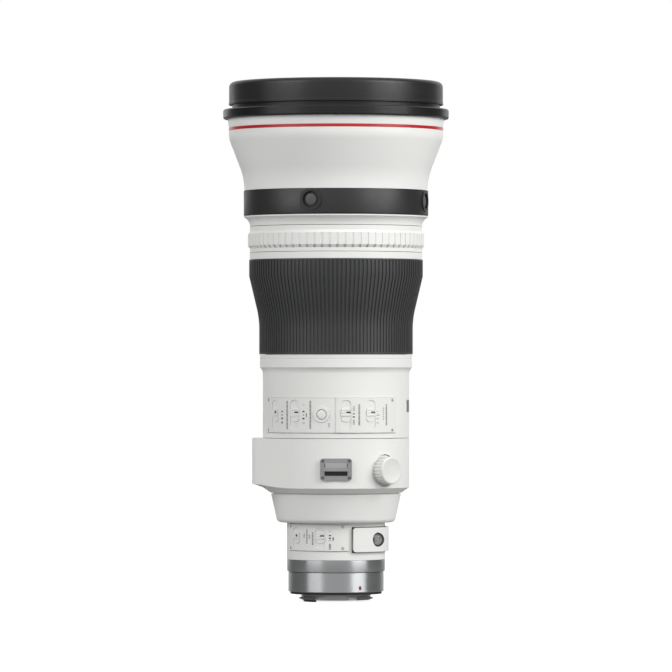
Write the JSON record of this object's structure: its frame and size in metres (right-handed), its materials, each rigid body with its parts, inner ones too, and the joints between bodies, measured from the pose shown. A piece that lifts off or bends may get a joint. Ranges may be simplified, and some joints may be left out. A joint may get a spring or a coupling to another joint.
{
  "type": "telephoto lens",
  "caption": "Large white telephoto lens standing on its bayonet mount, with a rubber focus grip, slide switches, a turning tripod collar and a drop-in filter drawer.",
  "frame": {"origin": "centre of the bayonet flange's face, where the lens meets the camera", "axes": "+Z along the optical axis towards the front glass, -Y towards the switch panels, -X towards the tripod foot seat, +X towards the filter drawer"},
  "size_m": [0.1628, 0.1628, 0.3743],
  "materials": {
    "white_enamel": "satin warm white enamel",
    "black_enamel": "satin black enamel",
    "red_enamel": "gloss red enamel",
    "grip_rubber": "matte ribbed rubber",
    "band_plastic": "fine-textured dark grey",
    "button_plastic": "smooth dark grey",
    "panel_plastic": "moulded off-white",
    "switch_plastic": "moulded off-white, grooved",
    "silver_ring": "turned, satin anodised",
    "mount_steel": "turned and polished",
    "lug_steel": "bead-blasted",
    "screw_steel": "small cross-head screws",
    "contact_gold": "gold-plated",
    "black_plastic": "moulded black",
    "seal_rubber": "soft black rubber",
    "inner_black": "matte black anodised",
    "cam_alloy": "machined",
    "coated_glass": "polished, with an anti-reflection coating",
    "board": "green circuit board"
  },
  "bodies": {
    "barrel": {"bayonet": "mount_steel", "bayonet_screws": "screw_steel", "mount_seal": "seal_rubber", "contact_block": "black_plastic", "contact_pins": "contact_gold", "lower_mount_ring": "silver_ring", "upper_mount_ring": "silver_ring", "rear_barrel": "white_enamel", "rear_panel": "panel_plastic", "rear_cone": "white_enamel", "main_board": "board", "rear_cell": "inner_black", "rear_elements": "coated_glass", "main_barrel": "white_enamel", "left_panel": "panel_plastic", "right_panel": "panel_plastic", "panel_screws": "screw_steel", "lock_slot": "black_plastic", "stabiliser_frame": "inner_black", "iris_housing": "inner_black", "iris_blades": "inner_black", "focus_motor": "cam_alloy", "inner_tube": "inner_black", "middle_cell": "inner_black", "middle_elements": "coated_glass", "front_barrel": "white_enamel", "trim_ring": "red_enamel", "button_band": "band_plastic", "front_element": "coated_glass", "front_retainer": "inner_black", "hood_flange": "black_enamel", "front_ring": "black_enamel"},
    "lens_button_1": {"lens_button_1": "button_plastic"},
    "lens_button_2": {"lens_button_2": "button_plastic"},
    "lens_button_3": {"lens_button_3": "button_plastic"},
    "lens_button_4": {"lens_button_4": "button_plastic"},
    "preset_ring": {"preset_ring": "white_enamel"},
    "focus_ring": {"focus_ring": "white_enamel", "focus_grip": "grip_rubber"},
    "distance_switch": {"distance_switch": "switch_plastic"},
    "mode_switch": {"mode_switch": "switch_plastic"},
    "stabiliser_switch": {"stabiliser_switch": "switch_plastic"},
    "stabiliser_mode_switch": {"stabiliser_mode_switch": "switch_plastic"},
    "focus_mode_switch": {"focus_mode_switch": "switch_plastic"},
    "ring_switch": {"ring_switch": "switch_plastic"},
    "set_button": {"set_button": "switch_plastic"},
    "tripod_collar": {"tripod_collar": "white_enamel", "strap_lugs": "lug_steel", "lug_screws": "screw_steel"},
    "lock_knob": {"lock_knob": "panel_plastic"},
    "filter_holder": {"filter_holder": "white_enamel", "filter_glass": "coated_glass"},
    "filter_button_1": {"filter_button_1": "lug_steel"},
    "filter_button_2": {"filter_button_2": "lug_steel"},
    "drive_ring": {"drive_ring": "cam_alloy"},
    "focus_cell": {"focus_cell": "inner_black", "focus_elements": "coated_glass"},
    "stabiliser_carriage": {"stabiliser_carriage": "cam_alloy"},
    "stabiliser_cell": {"stabiliser_cell": "inner_black", "stabiliser_elements": "coated_glass"}
  },
  "joints": [
    {"name": "lens_button_1_press", "type": "slide", "parent": "barrel", "child": "lens_button_1", "axis": [0.2689, 0.9632, 0], "range_m": [0, 0.0008], "stiffness_N_per_m": 400, "springref_m": -0.0005},
    {"name": "lens_button_2_press", "type": "slide", "parent": "barrel", "child": "lens_button_2", "axis": [-0.9632, 0.2689, 0], "range_m": [0, 0.0008], "stiffness_N_per_m": 400, "springref_m": -0.0005},
    {"name": "lens_button_3_press", "type": "slide", "parent": "barrel", "child": "lens_button_3", "axis": [-0.2689, -0.9632, 0], "range_m": [0, 0.0008], "stiffness_N_per_m": 400, "springref_m": -0.0005},
    {"name": "lens_button_4_press", "type": "slide", "parent": "barrel", "child": "lens_button_4", "axis": [0.9632, -0.2689, 0], "range_m": [0, 0.0008], "stiffness_N_per_m": 400, "springref_m": -0.0005},
    {"name": "preset_ring_turn", "type": "hinge", "parent": "barrel", "child": "preset_ring", "pos_m": [0, 0, 0.2544], "axis": [0, 0, 1], "range_deg": [-7.5, 7.5], "stiffness_Nm_per_rad": 1},
    {"name": "focus_ring_turn", "type": "hinge", "parent": "barrel", "child": "focus_ring", "pos_m": [0, 0, 0.2083], "axis": [0, 0, 1], "continuous": true},
    {"name": "distance_switch_slide", "type": "slide", "parent": "barrel", "child": "distance_switch", "axis": [0, 0, -1], "range_m": [0, 0.005]},
    {"name": "mode_switch_slide", "type": "slide", "parent": "barrel", "child": "mode_switch", "axis": [0, 0, -1], "range_m": [0, 0.005]},
    {"name": "stabiliser_switch_slide", "type": "slide", "parent": "barrel", "child": "stabiliser_switch", "axis": [0, 0, -1], "range_m": [0, 0.005]},
    {"name": "stabiliser_mode_switch_slide", "type": "slide", "parent": "barrel", "child": "stabiliser_mode_switch", "axis": [0, 0, -1], "range_m": [0, 0.005]},
    {"name": "focus_mode_switch_slide", "type": "slide", "parent": "barrel", "child": "focus_mode_switch", "axis": [0, 0, -1], "range_m": [0, 0.0032]},
    {"name": "ring_switch_slide", "type": "slide", "parent": "barrel", "child": "ring_switch", "axis": [0, 0, -1], "range_m": [0, 0.0032]},
    {"name": "set_button_press", "type": "slide", "parent": "barrel", "child": "set_button", "axis": [0.1925, 0.9813, 0], "range_m": [0, 0.0006], "stiffness_N_per_m": 400, "springref_m": -0.0005},
    {"name": "collar_turn", "type": "hinge", "parent": "barrel", "child": "tripod_collar", "pos_m": [0, 0, 0.0918], "axis": [0, 0, 1], "continuous": true},
    {"name": "lock_knob_turn", "type": "hinge", "parent": "tripod_collar", "child": "lock_knob", "pos_m": [0.033, -0.0373, 0.0887], "axis": [0.6626, -0.749, 0], "range_deg": [0, 270]},
    {"name": "filter_holder_slide", "type": "slide", "parent": "barrel", "child": "filter_holder", "axis": [1, 0, 0], "range_m": [0, 0.065]},
    {"name": "filter_button_1_press", "type": "slide", "parent": "filter_holder", "child": "filter_button_1", "axis": [-0.3843, 0.9232, 0], "range_m": [0, 0.0015], "stiffness_N_per_m": 400, "springref_m": -0.0005},
    {"name": "filter_button_2_press", "type": "slide", "parent": "filter_holder", "child": "filter_button_2", "axis": [-0.3843, -0.9232, 0], "range_m": [0, 0.0015], "stiffness_N_per_m": 400, "springref_m": -0.0005},
    {"name": "drive_ring_turn", "type": "hinge", "parent": "barrel", "child": "drive_ring", "pos_m": [0, 0, 0.14], "axis": [0, 0, -1], "range_deg": [0, 60]},
    {"name": "focus_cell_slide", "type": "slide", "parent": "barrel", "child": "focus_cell", "axis": [0, 0, 1], "range_m": [0, 0.014]},
    {"name": "stabiliser_carriage_slide", "type": "slide", "parent": "barrel", "child": "stabiliser_carriage", "axis": [0, 1, 0], "range_m": [-0.0015, 0.0015], "stiffness_N_per_m": 300},
    {"name": "stabiliser_cell_slide", "type": "slide", "parent": "stabiliser_carriage", "child": "stabiliser_cell", "axis": [1, 0, 0], "range_m": [-0.0015, 0.0015], "stiffness_N_per_m": 300}
  ],
  "couplings": [
    {"joint": "focus_cell_slide", "follows": "drive_ring_turn", "m_per_rad": 0.013369}
  ]
}
